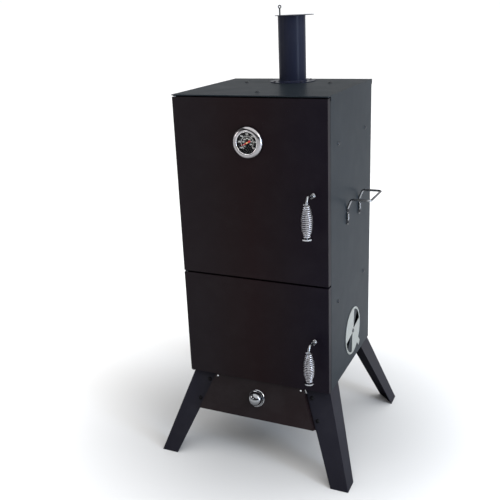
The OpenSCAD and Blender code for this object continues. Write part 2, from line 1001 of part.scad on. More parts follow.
module rear_leg() {
  difference() {
    trim_leg()
      union() {
        translate([0, back_y, base_z])
          mirror([0, 1, 0])
            rotate([90 - rear_slope, 0, 0]) leg_face_flange(rear_slope);
        leg_side_flange(back_y, foot_y, -1);
        leg_plate(leg_top_x - 1, back_y - 1, -1, leg_top_w - 2, leg_h - leg_t, leg_t);
        leg_plate(foot_x - 2, foot_y - 2, -1, leg_foot_w - 4, 0, 3);
      }
    leg_bolt_places() translate([0, 0, -leg_t - 1]) cylinder(r = 3.2, h = leg_t + 2);
  }
}

module front_right_leg() {
  color(paint) front_leg();
}

module front_left_leg() {
  color(paint) mirror([1, 0, 0]) front_leg();
}

module rear_right_leg() {
  color(paint) rear_leg();
}

module rear_left_leg() {
  color(paint) mirror([1, 0, 0]) rear_leg();
}

module leg_bolts() {
  color(zinc) {
    leg_bolt_places() translate([0, 0, sheet]) bolt(sheet + leg_t);
    panel_bolt_places() bolt(leg_t + sheet);
  }
}

// ---- chimney ----

module chimney_tube() {
  color(paint)
    translate([0, flue_y, cover_z])
      difference() {
        cylinder(r = flue_r, h = flue_h);
        translate([0, 0, -1]) cylinder(r = flue_r - sheet, h = flue_h + 2);
      }
}

module chimney_flange() {
  color(paint)
    translate([0, flue_y, cover_z])
      difference() {
        union() {
          cylinder(r = flange_r, h = 1.5);
          translate([0, 0, 1.5]) cylinder(r1 = flue_r + 4, r2 = flue_r + 1.5, h = 3);
        }
        translate([0, 0, -1]) cylinder(r = flue_r, h = 8);
        for (a = [45 : 90 : 315])
          rotate(a)
            translate([flange_r - 8, 0, -1]) cylinder(r = 2.2, h = 4);
      }
}

module flange_screws() {
  color(zinc)
    for (a = [45 : 90 : 315])
      translate([0, flue_y, cover_z + 1.5])
        rotate(a)
          translate([flange_r - 8, 0, 0]) bolt(1.5 + sheet, 2);
}

sleeve_r = 4;
sleeve_low = 40;
sleeve_high = 8;

// Guide for the lid's rod, carried on a web from the inside of the chimney
module lid_sleeve() {
  color(zinc)
    difference() {
      translate([0, 0, flue_top - sleeve_low])
        linear_extrude(sleeve_low - sleeve_high)
          intersection() {
            translate([0, flue_y]) circle(r = flue_r - sheet);
            union() {
              translate([rod_x, rod_y]) circle(r = sleeve_r);
              translate([0, flue_y])
                rotate(rod_angle)
                  translate([rod_from_axis, -2]) square([10, 4]);
            }
          }
      translate([rod_x, rod_y, flue_top - sleeve_low - 1]) cylinder(r = rod_r + 0.06, h = sleeve_low);
    }
}

module chimney_lid() {
  color(paint)
    difference() {
      translate([6.7, flue_y + 3, flue_top + lid_gap]) cylinder(r = lid_r, h = lid_t, $fn = 96);
      translate([rod_x, rod_y, flue_top - 1]) cylinder(r = rod_r, h = 6);
    }
}

eye_r = 3.4;

// Rod of the lid, with a retaining collar below its sleeve and an eye to turn it by
module lid_rod() {
  rod_low = flue_top - sleeve_low - 6;
  eye_z = flue_top + 20;
  color(zinc) {
    translate([rod_x, rod_y, rod_low]) cylinder(r = rod_r, h = eye_z - rod_low);
    translate([rod_x, rod_y, rod_low]) cylinder(r = sleeve_r - 0.4, h = 5);
    translate([rod_x, rod_y, eye_z + eye_r])
      rotate([90, 0, 25])
        rotate_extrude()
          translate([eye_r, 0]) circle(r = 1.4, $fn = 24);
  }
}

// ---- air dampers ----

// Headed rivets that the damper wheels turn on
module damper_pivots() {
  color(iron)
    both_sides()
      on_side(wheel_y, wheel_z) {
        translate([0, 0, -sheet - 2]) cylinder(r = pivot_r, h = sheet + 2 + wheel_gap + wheel_t + 0.4);
        translate([0, 0, wheel_gap + wheel_t + 0.35]) cylinder(r1 = 6, r2 = 4, h = 2);
        translate([0, 0, -sheet - 2]) cylinder(r = 5.5, h = 2);
      }
}

module damper_wheel() {
  tab_angle = -46;
  tab_end = wheel_r + 23;
  on_side(wheel_y, wheel_z)
    translate([0, 0, wheel_gap]) {
      difference() {
        union() {
          cylinder(r = wheel_r, h = wheel_t, $fn = 128);
          rotate_extrude($fn = 128)
            translate([wheel_r - 2.5, wheel_t * 0.5]) circle(r = 1.2, $fn = 24);
          rotate(tab_angle)
            translate([wheel_r - 6, -8, 0]) cube([tab_end - wheel_r + 6, 16, wheel_t]);
        }
        translate([0, 0, -3])
          linear_extrude(10) sectors(hole_r, hole_angle + wheel_rest, sector);
        translate([0, 0, -3]) cylinder(r = pivot_r + 0.08, h = 10);
        translate([0, 0, -5]) cylinder(r = wheel_r + 10, h = 5);
      }
    }
}

module damper_wheel_right() {
  color(zinc) damper_wheel();
}

module damper_wheel_left() {
  color(zinc) mirror([1, 0, 0]) damper_wheel();
}

// ---- carrying handles ----

carry_r = 3;
carry_y = wheel_y;
carry_arms = [carry_y - carry_span / 2 - 3, carry_y + carry_span / 2 - 3];
carry_pads = [carry_up - 60, carry_up - 30];
pad_r = 6.5;
pad_t = 3;

// Wire loop with its two legs flattened into drilled pads against the panel
module side_handle() {
  bend_r = 9;
  off_panel = 0.1;
  arm = carry_out - carry_r - off_panel;
  lean = 22;
  lean_len = 14;
  rise = carry_up - carry_pads[0] - bend_r - lean_len * cos(lean);
  reach = arm - 2 * bend_r - lean_len * sin(lean);
  difference() {
    union() {
      translate([half_w + carry_r + off_panel, carry_arms[0], base_z + carry_pads[0]])
        wire(carry_r, [
          [rise, bend_r, lean, 0],
          [lean_len, bend_r, 90 - lean, 0],
          [reach, bend_r, 90, 90],
          [carry_span - 2 * bend_r, bend_r, 90, 0],
          [reach, bend_r, 90 - lean, -90],
          [lean_len, bend_r, lean, 0],
          [rise, 0, 0, 0]
        ]);
      for (y = carry_arms, up = carry_pads)
        on_side(y, base_z + up) cylinder(r = pad_r, h = pad_t - 0.05);
    }
    for (y = carry_arms, up = carry_pads)
      on_side(y, base_z + up) {
        translate([-pad_r - 1, -pad_r - 1, pad_t - 0.05]) cube([2 * pad_r + 2, 2 * pad_r + 2, 10]);
        translate([0, 0, -1]) cylinder(r = 2.7, h = pad_t + 2);
      }
  }
}

module side_handle_right() {
  color(chrome) side_handle();
}

module side_handle_left() {
  color(chrome) mirror([1, 0, 0]) side_handle();
}

module side_handle_bolts() {
  color(zinc)
    both_sides()
      for (y = carry_arms, up = carry_pads)
        on_side(y, base_z + up)
          translate([0, 0, pad_t]) bolt(pad_t + sheet, 2.5);
}

// ---- nodes ----

side_panel_left();
side_panel_right();
back_panel();
top_cover();
floor_pan();
front_frame();
top_hinge_tab();
middle_hinge_tab();
bottom_hinge_tab();
hinge_pins();
rack_hanger_left();
rack_hanger_right();
panel_bolts();
cooking_grate_top();
cooking_grate_middle();
cooking_grate_bottom();
chip_box_rack();
water_pan();
chip_box();
chip_box_lid();
burner();
burner_bracket();
gas_valve();
control_panel();
knob_bezel();
control_knob();
valve_stem();
front_left_leg();
front_right_leg();
rear_left_leg();
rear_right_leg();
leg_bolts();
chimney_tube();
chimney_flange();
flange_screws();
lid_sleeve();
chimney_lid();
lid_rod();
damper_pivots();
damper_wheel_left();
damper_wheel_right();
side_handle_left();
side_handle_right();
side_handle_bolts();
upper_door();
thermometer_bezel();
thermometer_dial();
thermometer_glass();
thermometer_stem();
thermometer_needle();
upper_latch_bush();
upper_latch_rod();
upper_grip();
upper_grip_cap();
lower_door();
lower_latch_bush();
lower_latch_rod();
lower_grip();
lower_grip_cap();
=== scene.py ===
"""Finishes, small pieces and studio for a vertical water smoker."""

import json
import math

import bmesh
import bpy
from mathutils import Matrix, Vector


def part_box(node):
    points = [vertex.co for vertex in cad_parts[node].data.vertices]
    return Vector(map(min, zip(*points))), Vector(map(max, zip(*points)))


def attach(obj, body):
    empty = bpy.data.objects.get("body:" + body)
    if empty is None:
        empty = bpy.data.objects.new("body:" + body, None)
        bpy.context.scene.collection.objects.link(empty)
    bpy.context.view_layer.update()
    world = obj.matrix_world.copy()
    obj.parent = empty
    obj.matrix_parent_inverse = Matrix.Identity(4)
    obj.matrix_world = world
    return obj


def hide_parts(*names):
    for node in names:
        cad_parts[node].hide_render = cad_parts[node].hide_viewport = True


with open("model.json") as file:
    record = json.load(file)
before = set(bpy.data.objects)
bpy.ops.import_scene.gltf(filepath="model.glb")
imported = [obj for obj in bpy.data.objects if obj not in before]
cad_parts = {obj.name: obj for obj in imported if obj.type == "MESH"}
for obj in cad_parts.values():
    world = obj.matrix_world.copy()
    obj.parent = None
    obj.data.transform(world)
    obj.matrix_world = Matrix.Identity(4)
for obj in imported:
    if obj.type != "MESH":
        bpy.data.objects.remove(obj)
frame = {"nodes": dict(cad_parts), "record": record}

bl_info = {
    "name": "Vertical Water Smoker",
    "version": (1, 0, 0),
    "blender": (4, 5, 0),
    "location": "View3D > Sidebar > Smoker",
    "description": "Enamel, chrome and studio for a two-door cabinet smoker",
    "category": "Object",
}

MM = 0.001
TURN = 2 * math.pi
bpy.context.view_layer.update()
SLOT_OF = {p["node"]: p["material_slot"] for p in frame["record"]["subparts"]}

# Doors: half their width, and painted shading and reflections across the enamel, paler at the left
# edge and darker at the right
DOOR_HALF = 203 * MM
DOOR_PAINTED_SHADING = (
    (1.15, 1.35, 1.45),
    (1.1, 1.0, 1.0),
    (1.05, 0.72, 0.76),
    (0.85, 0.75, 0.9),
    (0.6, 0.7, 1.25),
)

# Springs round the latch rods
SPRING_TURNS = 4
SPRING_STEPS = 20
SPRING_LENGTH = 11.5 * MM
SPRING_RADIUS = 4.15 * MM
SPRING_WIRE = 1.0 * MM

# Coiled grips: share of the height, and share of the widest radius there
GRIP_STEPS = 22
GRIP_OUTLINE = (
    (0, 0.64),
    (0.13, 0.68),
    (0.20, 0.85),
    (0.27, 0.93),
    (0.38, 0.98),
    (0.5, 1),
    (0.62, 1),
    (0.72, 0.91),
    (0.82, 0.79),
    (0.94, 0.66),
    (1, 0.56),
)
COIL_SIDES = 10

# Sloping control panel, with the knob and two screws on it
PANEL_SLOPE = math.atan(90 / 234)
PANEL_UP = Vector((0, math.sin(PANEL_SLOPE), math.cos(PANEL_SLOPE)))
PANEL_OUT = Vector((0, -math.cos(PANEL_SLOPE), math.sin(PANEL_SLOPE)))
PANEL_TOP = Vector((0, -168 * MM, 234 * MM))
SCREW_X = 122.5 * MM
PANEL_SCREW = Vector((0, -183.4 * MM, 228.5 * MM))
SCREW_HEAD = ((0, 0), (2.6, 0), (2.6, 0.3), (2.2, 1.0), (1.5, 1.5), (0.7, 1.75), (0, 1.8))

# Control knob: profile of its bore and skirt, then its dome, then its index rib, in mm
KNOB_DOWN = 53 * MM
KNOB_PROUD = 15.3 * MM
KNOB_SKIRT = (
    (0, 7.7),
    (4, 7.7),
    (4, 0),
    (20.7, 0),
    (21, 0.4),
    (21, 2.4),
    (20.6, 3),
    (19.2, 3.2),
    (19, 3.8),
    (19, 7),
)
DOME_RADIUS = 19
DOME_FOOT = 7
DOME_RISE = 15
DOME_STEPS = 14
RIB_MIDDLE = Vector((0, 18.5, 3.5))
RIB_SIZE = Vector((2, 5, 2))

# Thermometer: share of the dial that is printed, ring inside the window, bezel, rivet
DIAL_PRINT = 0.83
PRINT_PROUD = 0.04 * MM
RING_INSET = 1.2 * MM
RING_WIRE = 1.1 * MM
RING_GAP = 0.05 * MM
BEZEL_RIM = (
    (5, 0),
    (39.4, 0),
    (40, 0.8),
    (40, 2.2),
    (39.6, 4.0),
    (38.6, 5.9),
    (37.0, 7.7),
    (35.0, 9.2),
    (33.0, 10.2),
    (31.2, 10.8),
    (29.8, 11.0),
    (28.6, 10.8),
    (27.9, 10.2),
    (27.8, 9.4),
    (27.8, 8),
    (28.8, 8),
    (28.8, 4),
    (5, 4),
)
RIVET_HEAD = ((0, 0), (2.3, 0), (2.3, 0.2), (1.7, 0.42), (0.6, 0.53), (0, 0.54))
RIVET_SUNK = 0.02 * MM

# Dial print: Fahrenheit range, and sizes as shares of the printed radius
DIAL_LOW = 100
DIAL_SPAN = 600
SCALE_RING = 0.665
RING_HALF = 0.2 * MM
RING_STEPS = 120
HUNDRED_TICK, FIFTY_TICK, TEN_TICK = 0.145, 0.095, 0.06
HUNDRED_LINE, TEN_LINE = 0.55 * MM, 0.42 * MM
CELSIUS_LONG, CELSIUS_SHORT = 0.10, 0.055
CELSIUS_LINE = 0.36 * MM
OUTER_PLACE, OUTER_SIZE = 0.885, 0.82
INNER_PLACE, INNER_SIZE = 0.43, 0.66
UNIT_ANGLE = math.radians(231)
UNIT_C_PLACE, UNIT_F_PLACE, UNIT_SIZE = 0.50, 0.74, 0.7
TEXT_SCALE = 1.35
TEXT_WEIGHT = 0.12 * MM

# Studio
FLOOR_HALF = 60.0
FLOOR_DROP = 0.0005
FLOOR_SHADE_REACH = 1.05


# ---------------------------------------------------------------- shader maths


class Wire:
    """A socket in a finish. Arithmetic on it adds Math nodes."""

    def __init__(self, finish, socket):
        self.finish = finish
        self.socket = socket

    def _math(self, operation, *values):
        return self.finish.node("ShaderNodeMath", {"operation": operation}, dict(enumerate(values)))

    def __add__(self, other):
        return self._math("ADD", self, other)

    def __radd__(self, other):
        return self._math("ADD", other, self)

    def __sub__(self, other):
        return self._math("SUBTRACT", self, other)

    def __rsub__(self, other):
        return self._math("SUBTRACT", other, self)

    def __mul__(self, other):
        return self._math("MULTIPLY", self, other)

    def __pow__(self, other):
        return self._math("POWER", self, other)

    def ramp(self, low, high, to_low=0.0, to_high=1.0):
        """Smooth step from low to high."""
        return self.finish.node(
            "ShaderNodeMapRange",
            {"interpolation_type": "SMOOTHSTEP"},
            {"Value": self, "From Min": low, "From Max": high, "To Min": to_low, "To Max": to_high},
        )


class Finish:
    """A material on one Principled shader, built from node calls."""

    def __init__(self, name):
        self.material = bpy.data.materials.new(name)
        self.material.use_nodes = True
        self.tree = self.material.node_tree
        self.tree.nodes.clear()
        self.shader = self.tree.nodes.new("ShaderNodeBsdfPrincipled")
        self.output = self.tree.nodes.new("ShaderNodeOutputMaterial")
        self.tree.links.new(self.shader.outputs[0], self.output.inputs["Surface"])
        self.place = self.node("ShaderNodeTexCoord", out="Object")

    def node(self, kind, settings=None, inputs=None, out=0):
        """Adds a node: its settings first, then the values or links of its sockets."""
        made = self.tree.nodes.new(kind)
        for key, value in (settings or {}).items():
            if key == "stops":
                self._set_stops(made.color_ramp, value)
            else:
                setattr(made, key, value)
        for key, value in (inputs or {}).items():
            self.feed(made.inputs[key], value)
        return Wire(self, made.outputs[out])

    def _set_stops(self, ramp, stops):
        while len(ramp.elements) < len(stops):
            ramp.elements.new(0.5)
        for element, (position, colour) in zip(ramp.elements, stops):
            element.position = position
            element.color = (*colour, 1.0)

    def feed(self, socket, value):
        """Links a wire into a socket, or sets its value."""
        if isinstance(value, Wire):
            self.tree.links.new(value.socket, socket)
        elif socket.type == "RGBA" and len(value) == 3:
            socket.default_value = (*value, 1.0)
        else:
            socket.default_value = value

    def noise(self, size, detail=2.0, roughness=0.5, where=None):
        """Noise whose features are about size metres across, from 0 to 1."""
        return self.node(
            "ShaderNodeTexNoise",
            {"noise_dimensions": "3D"},
            {
                "Vector": where or self.place,
                "Scale": 1 / size,
                "Detail": detail,
                "Roughness": roughness,
            },
            out="Fac",
        )

    def stretched(self, x, y, z):
        """Object coordinates scaled along each axis, for brushed or drawn surfaces."""
        return self.node(
            "ShaderNodeVectorMath",
            {"operation": "MULTIPLY"},
            {0: self.place, 1: (x, y, z)},
            out="Vector",
        )

    def axis(self, letter):
        """One coordinate of the object's place, in metres."""
        return self.node("ShaderNodeSeparateXYZ", None, {"Vector": self.place}, out=letter)

    def mix(self, mask, first, second):
        """Colour between first, at mask 0, and second, at mask 1."""
        return self.node(
            "ShaderNodeMix",
            {"data_type": "RGBA"},
            {"Factor": mask, 6: first, 7: second},
            out=2,
        )

    def bump(self, height, distance, strength=1.0, over=None):
        """Bump of a height from 0 to 1 that stands for distance metres."""
        inputs = {"Height": height, "Distance": distance, "Strength": strength}
        if over is not None:
            inputs["Normal"] = over
        return self.node("ShaderNodeBump", None, inputs, out="Normal")

    def set(self, **sockets):
        """Feeds the shader's sockets; underscores stand for spaces."""
        for key, value in sockets.items():
            self.feed(self.shader.inputs[key.replace("_", " ")], value)
        return self.material


def enamel(name, deep, pale, roughness, dust, specular=0.13, across=None):
    """Baked black enamel: fine orange peel, slow colour drift, faint wiped dust.

    across holds painted shading and reflections, colours from the left edge of a door to its right
    edge, or nothing.
    """
    f = Finish(name)
    drift = f.noise(0.30, 1.5).ramp(0.35, 0.68)
    cloud = f.noise(0.06, 4.0, 0.6)
    specks = f.noise(0.0016, 2.0, 0.6).ramp(0.70, 0.78)
    colour = f.mix(drift, deep, pale)
    # Painted shading and reflections across the door, paler at the left edge and darker at the
    # right.
    if across:
        place = f.axis("X").ramp(-DOOR_HALF, DOOR_HALF)
        stops = [(k / (len(across) - 1), tint) for k, tint in enumerate(across)]
        painted_shading = f.node("ShaderNodeValToRGB", {"stops": stops}, {"Fac": place}, out="Color")
        colour = f.mix(drift * 0.25, painted_shading, pale)
    colour = f.mix(specks * 0.35, colour, (0.09, 0.09, 0.095))
    wiped = cloud.ramp(0.40, 0.75) * dust
    colour = f.mix(wiped, colour, (0.12, 0.12, 0.125))
    peel = f.noise(0.0035, 2.0, 0.55)
    broad = f.noise(0.045, 1.0)
    normal = f.bump(broad, 0.0006, 0.35)
    normal = f.bump(peel, 0.00006, 0.5, over=normal)
    return f.set(
        Base_Color=colour,
        Roughness=roughness + cloud * 0.12 + specks * 0.1,
        Specular_IOR_Level=specular,
        Normal=normal,
    )


def chrome_plate(name, tint=(0.33, 0.335, 0.35), roughness=0.10):
    """Bright plate with soft handling marks."""
    f = Finish(name)
    smudge = f.noise(0.012, 4.0, 0.65).ramp(0.45, 0.8)
    pits = f.noise(0.0009, 2.0).ramp(0.72, 0.8)
    colour = f.mix(smudge * 0.35, tint, tuple(c * 0.82 for c in tint))
    colour = f.mix(pits * 0.5, colour, tuple(c * 0.45 for c in tint))
    return f.set(
        Base_Color=colour,
        Metallic=1.0,
        Roughness=roughness + smudge * 0.12 + pits * 0.2,
        Normal=f.bump(f.noise(0.006, 2.0), 0.00004, 0.5),
    )


def drawn_wire(name, tint=(0.30, 0.31, 0.33)):
    """Plated wire: fine lengthwise and crosswise rub marks, duller than polish."""
    f = Finish(name)
    rub = f.noise(0.0011, 3.0, 0.6)
    dull = f.noise(0.02, 3.0).ramp(0.4, 0.7)
    colour = f.mix(dull, tint, tuple(c * 0.72 for c in tint))
    return f.set(
        Base_Color=colour,
        Metallic=1.0,
        Roughness=0.17 + dull * 0.12 + rub * 0.06,
        Normal=f.bump(rub, 0.00003, 0.6),
    )


def galvanised_sheet(name, tint=(0.27, 0.285, 0.275)):
    """Zinc-coated sheet: large soft spangle, grey bloom and faint scratches."""
    f = Finish(name)
    spangle = f.node(
        "ShaderNodeTexVoronoi",
        {"feature": "F1", "distance": "EUCLIDEAN"},
        {"Vector": f.place, "Scale": 1 / 0.009, "Randomness": 1.0},
        out="Color",
    )
    grey = f.node("ShaderNodeRGBToBW", None, {"Color": spangle})
    bloom = f.noise(0.03, 4.0, 0.6).ramp(0.4, 0.75)
    scratch = f.noise(0.004, 5.0, 0.7, where=f.stretched(1.0, 0.12, 1.0)).ramp(0.62, 0.72)
    colour = f.mix(grey, tuple(c * 0.86 for c in tint), tuple(c * 1.08 for c in tint))
    colour = f.mix(bloom * 0.5, colour, (0.33, 0.345, 0.335))
    return f.set(
        Base_Color=colour,
        Metallic=0.75,
        Roughness=0.38 + grey * 0.12 + bloom * 0.14 - scratch * 0.1,
        Normal=f.bump(grey + scratch * 0.5, 0.00005, 0.4),
    )


def zinc_plate(name, tint=(0.42, 0.43, 0.44), roughness=0.28):
    """Bright zinc on small fixings, with a little white bloom."""
    f = Finish(name)
    bloom = f.noise(0.004, 4.0, 0.6)
    colour = f.mix(bloom.ramp(0.45, 0.75), tint, (0.42, 0.42, 0.42))
    return f.set(
        Base_Color=colour,
        Metallic=0.9,
        Roughness=roughness + bloom * 0.2,
        Normal=f.bump(f.noise(0.0012, 2.0), 0.00004, 0.5),
    )


def dark_steel(name, tint=(0.10, 0.10, 0.105), metallic=0.6, specular=0.3):
    """Blackened steel with paler rubbed spots."""
    f = Finish(name)
    rub = f.noise(0.003, 4.0, 0.6).ramp(0.55, 0.75)
    colour = f.mix(rub, tint, tuple(c * 2.2 for c in tint))
    return f.set(
        Base_Color=colour,
        Metallic=metallic,
        Specular_IOR_Level=specular,
        Roughness=0.42 - rub * 0.12,
        Normal=f.bump(f.noise(0.001, 3.0), 0.00005, 0.5),
    )


def cast_iron(name):
    """Sand-cast iron with a grainy skin and rust in its low spots."""
    f = Finish(name)
    grain = f.noise(0.0011, 4.0, 0.7)
    rust = f.noise(0.02, 5.0, 0.65).ramp(0.55, 0.72)
    colour = f.mix(rust * 0.6, (0.035, 0.034, 0.034), (0.12, 0.055, 0.03))
    return f.set(
        Base_Color=colour,
        Metallic=0.3,
        Roughness=0.62 + grain * 0.25,
        Normal=f.bump(grain, 0.00035, 0.8),
    )


def machined_brass(name):
    """Turned brass, slightly tarnished."""
    f = Finish(name)
    tarnish = f.noise(0.008, 4.0, 0.6).ramp(0.45, 0.75)
    colour = f.mix(tarnish, (0.78, 0.58, 0.28), (0.42, 0.28, 0.12))
    return f.set(
        Base_Color=colour,
        Metallic=1.0,
        Roughness=0.22 + tarnish * 0.2,
        Normal=f.bump(f.noise(0.0008, 2.0), 0.00003, 0.5),
    )


def porcelain_pan(name):
    """Glassy speckled enamel of the pans."""
    f = Finish(name)
    specks = f.noise(0.0022, 1.0, 0.5).ramp(0.66, 0.70)
    colour = f.mix(specks, (0.012, 0.012, 0.016), (0.42, 0.43, 0.46))
    return f.set(
        Base_Color=colour,
        Roughness=0.16 + specks * 0.1 + f.noise(0.05, 3.0) * 0.08,
        Normal=f.bump(f.noise(0.008, 2.0), 0.0001, 0.4),
    )


def printed(name, colour, roughness=0.45, specular=0.3):
    """Flat printed or painted colour with a fine ink grain."""
    f = Finish(name)
    grain = f.noise(0.0007, 2.0)
    tint = f.mix(grain, tuple(c * 0.9 for c in colour), colour)
    return f.set(
        Base_Color=tint,
        Roughness=roughness + grain * 0.1,
        Specular_IOR_Level=specular,
        Normal=f.bump(grain, 0.00001, 0.3),
    )


def gauge_glass(name):
    """Thin clear glass, see-through without bending what is behind it."""
    f = Finish(name)
    haze = f.noise(0.01, 3.0).ramp(0.5, 0.9)
    return f.set(
        Base_Color=(0.02, 0.021, 0.022),
        Roughness=0.02 + haze * 0.06,
        Alpha=0.10 + haze * 0.05,
        Specular_IOR_Level=0.5,
    )


def studio_floor(name, colour, reach):
    """Pale seamless paper with a painted shadow, greyer under and round the object."""
    f = Finish(name)
    grain = f.noise(0.004, 3.0)
    away = (f.axis("X") ** 2 + f.axis("Y") ** 2) ** 0.5
    # Painted shadow: the floor darkens towards the object's foot.
    near = away.ramp(0.15, reach, 1.0, 0.0)
    tint = f.mix(grain * 0.3, colour, tuple(c * 0.985 for c in colour))
    tint = f.mix(near, tint, tuple(c * 0.50 for c in colour))
    return f.set(Base_Color=tint, Roughness=0.9, Specular_IOR_Level=0.1)


# ---------------------------------------------------------------- mesh helpers


def new_piece(name, mesh, body, material):
    """An object from a bmesh or mesh that rides on a CAD body."""
    if isinstance(mesh, bmesh.types.BMesh):
        made = bpy.data.meshes.new(name)
        mesh.to_mesh(made)
        mesh.free()
        mesh = made
    piece = bpy.data.objects.new(name, mesh)
    bpy.context.scene.collection.objects.link(piece)
    mesh.materials.clear()
    mesh.materials.append(material)
    if body:
        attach(piece, body)
    return piece


def smooth(piece, angle=35.0):
    """Smooth shading that keeps edges sharper than the angle."""
    for polygon in piece.data.polygons:
        polygon.use_smooth = True
    piece.data.set_sharp_from_angle(angle=math.radians(angle))


def sweep(bm, path, radius, sides=12):
    """Capped round tube along a path of points, its frame carried from point to point."""
    points = [Vector(p) for p in path]
    last = len(points) - 1
    tangents = []
    for i in range(last + 1):
        tangents.append((points[min(i + 1, last)] - points[max(i - 1, 0)]).normalized())
    across = tangents[0].orthogonal().normalized()
    rings = []
    for point, tangent in zip(points, tangents):
        across = (across - tangent * across.dot(tangent)).normalized()
        other = tangent.cross(across)
        ring = []
        for k in range(sides):
            a = TURN * k / sides
            ring.append(bm.verts.new(point + (across * math.cos(a) + other * math.sin(a)) * radius))
        rings.append(ring)
    for first, second in zip(rings, rings[1:]):
        for k in range(sides):
            bm.faces.new((first[k], first[(k + 1) % sides], second[(k + 1) % sides], second[k]))
    bm.faces.new(list(reversed(rings[0])))
    bm.faces.new(rings[-1])


def lathe(bm, profile, origin, axis, steps=96, closed=False):
    """Turns a profile of (radius, height) about an axis. A radius of 0 is a pole."""
    axis = Vector(axis).normalized()
    across = axis.orthogonal().normalized()
    other = axis.cross(across)
    rings = []
    for radius, height in profile:
        middle = Vector(origin) + axis * height
        if radius == 0:
            rings.append([bm.verts.new(middle)])
            continue
        ring = []
        for k in range(steps):
            a = TURN * k / steps
            out = across * math.cos(a) + other * math.sin(a)
            ring.append(bm.verts.new(middle + out * radius))
        rings.append(ring)
    pairs = list(zip(rings, rings[1:]))
    if closed:
        pairs.append((rings[-1], rings[0]))
    for first, second in pairs:
        for k in range(steps):
            corners = [first[k % len(first)], first[(k + 1) % len(first)]]
            corners += [second[(k + 1) % len(second)], second[k % len(second)]]
            bm.faces.new(list(dict.fromkeys(corners)))
    bmesh.ops.recalc_face_normals(bm, faces=bm.faces)


# ---------------------------------------------------------------- properties


class SmokerFinishes(bpy.types.PropertyGroup):
    """Colours of the painted and plated parts."""

    # Painted light and shade: the four enamel colours are copies of one black enamel, the doors
    # darker and warmer, the cabinet paler and bluer, the chimney bluest, the legs between them.
    front: bpy.props.FloatVectorProperty(
        name="Door enamel",
        description="Base colour of the two doors",
        subtype="COLOR",
        size=3,
        min=0,
        max=1,
        default=(0.0068, 0.0043, 0.0050),
    )
    cabinet: bpy.props.FloatVectorProperty(
        name="Cabinet enamel",
        description="Base colour of the side panels, back and top",
        subtype="COLOR",
        size=3,
        min=0,
        max=1,
        default=(0.0100, 0.0135, 0.0172),
    )
    legs: bpy.props.FloatVectorProperty(
        name="Leg enamel",
        description="Base colour of the legs",
        subtype="COLOR",
        size=3,
        min=0,
        max=1,
        default=(0.0098, 0.0095, 0.0135),
    )
    flue: bpy.props.FloatVectorProperty(
        name="Chimney enamel",
        description="Base colour of the chimney",
        subtype="COLOR",
        size=3,
        min=0,
        max=1,
        default=(0.0080, 0.0095, 0.0190),
    )
    edge_round: bpy.props.FloatProperty(
        name="Edge rounding",
        description="Radius of the doors' folded edges",
        subtype="DISTANCE",
        unit="LENGTH",
        default=1.4 * MM,
        min=0,
        max=3 * MM,
    )


class SmokerGrips(bpy.types.PropertyGroup):
    """Sizes of the coiled grips."""

    turns: bpy.props.FloatProperty(
        name="Turns", description="Turns of wire in each grip", default=16.5, min=6, max=30
    )
    wire: bpy.props.FloatProperty(
        name="Wire",
        description="Radius of the coiled wire",
        subtype="DISTANCE",
        unit="LENGTH",
        default=1.25 * MM,
        min=0.8 * MM,
        max=2.4 * MM,
    )


class SmokerDial(bpy.types.PropertyGroup):
    """Print on the thermometer's dial."""

    first_angle: bpy.props.FloatProperty(
        name="Low end",
        description="Angle of the lowest mark, from the right, anticlockwise",
        subtype="ANGLE",
        unit="ROTATION",
        default=math.radians(217.5),
    )
    sweep: bpy.props.FloatProperty(
        name="Sweep",
        description="Angle from the lowest mark to the highest",
        subtype="ANGLE",
        unit="ROTATION",
        default=math.radians(255),
    )
    numeral: bpy.props.FloatProperty(
        name="Numeral height",
        description="Height of the outer numerals",
        subtype="DISTANCE",
        unit="LENGTH",
        default=4.6 * MM,
        min=2 * MM,
        max=8 * MM,
    )


class SmokerStudio(bpy.types.PropertyGroup):
    """Camera and lights."""

    azimuth: bpy.props.FloatProperty(
        name="Azimuth",
        description="Camera's direction from the front towards the right",
        subtype="ANGLE",
        unit="ROTATION",
        default=math.radians(24.866),
    )
    pitch: bpy.props.FloatProperty(
        name="Pitch",
        description="How far the camera looks down",
        subtype="ANGLE",
        unit="ROTATION",
        default=math.radians(18.804),
    )
    roll: bpy.props.FloatProperty(
        name="Roll",
        description="Camera's tilt",
        subtype="ANGLE",
        unit="ROTATION",
        default=math.radians(-2.394),
    )
    place: bpy.props.FloatVectorProperty(
        name="Camera place",
        description="Camera's position",
        subtype="TRANSLATION",
        unit="LENGTH",
        size=3,
        default=(0.7269, -1.7702, 1.2049),
    )
    lens: bpy.props.FloatProperty(
        name="Lens",
        description="Focal length on a 36 mm sensor, in millimetres",
        default=52.08,
        min=20,
        max=200,
    )
    floor: bpy.props.FloatVectorProperty(
        name="Floor",
        description="Colour of the floor",
        subtype="COLOR",
        size=3,
        min=0,
        max=1,
        default=(0.92, 0.92, 0.92),
    )


# ---------------------------------------------------------------- finishes


def dress(nodes, material):
    """Gives CAD nodes a material."""
    for name in nodes:
        node = frame["nodes"][name]
        node.data.materials.clear()
        node.data.materials.append(material)


def in_slot(*slots):
    """CAD nodes whose record slot is one of these."""
    return [n for n, s in SLOT_OF.items() if s in slots]


def round_edges(nodes, width, angle=40.0, segments=3):
    """Softens folded edges with a bevel."""
    for name in nodes:
        node = frame["nodes"][name]
        weld = node.modifiers.new("weld", "WELD")
        weld.merge_threshold = 0.00001
        bevel = node.modifiers.new("fold", "BEVEL")
        bevel.width = width
        bevel.segments = segments
        bevel.limit_method = "ANGLE"
        bevel.angle_limit = math.radians(angle)
        bevel.harden_normals = True
        bevel.use_clamp_overlap = True


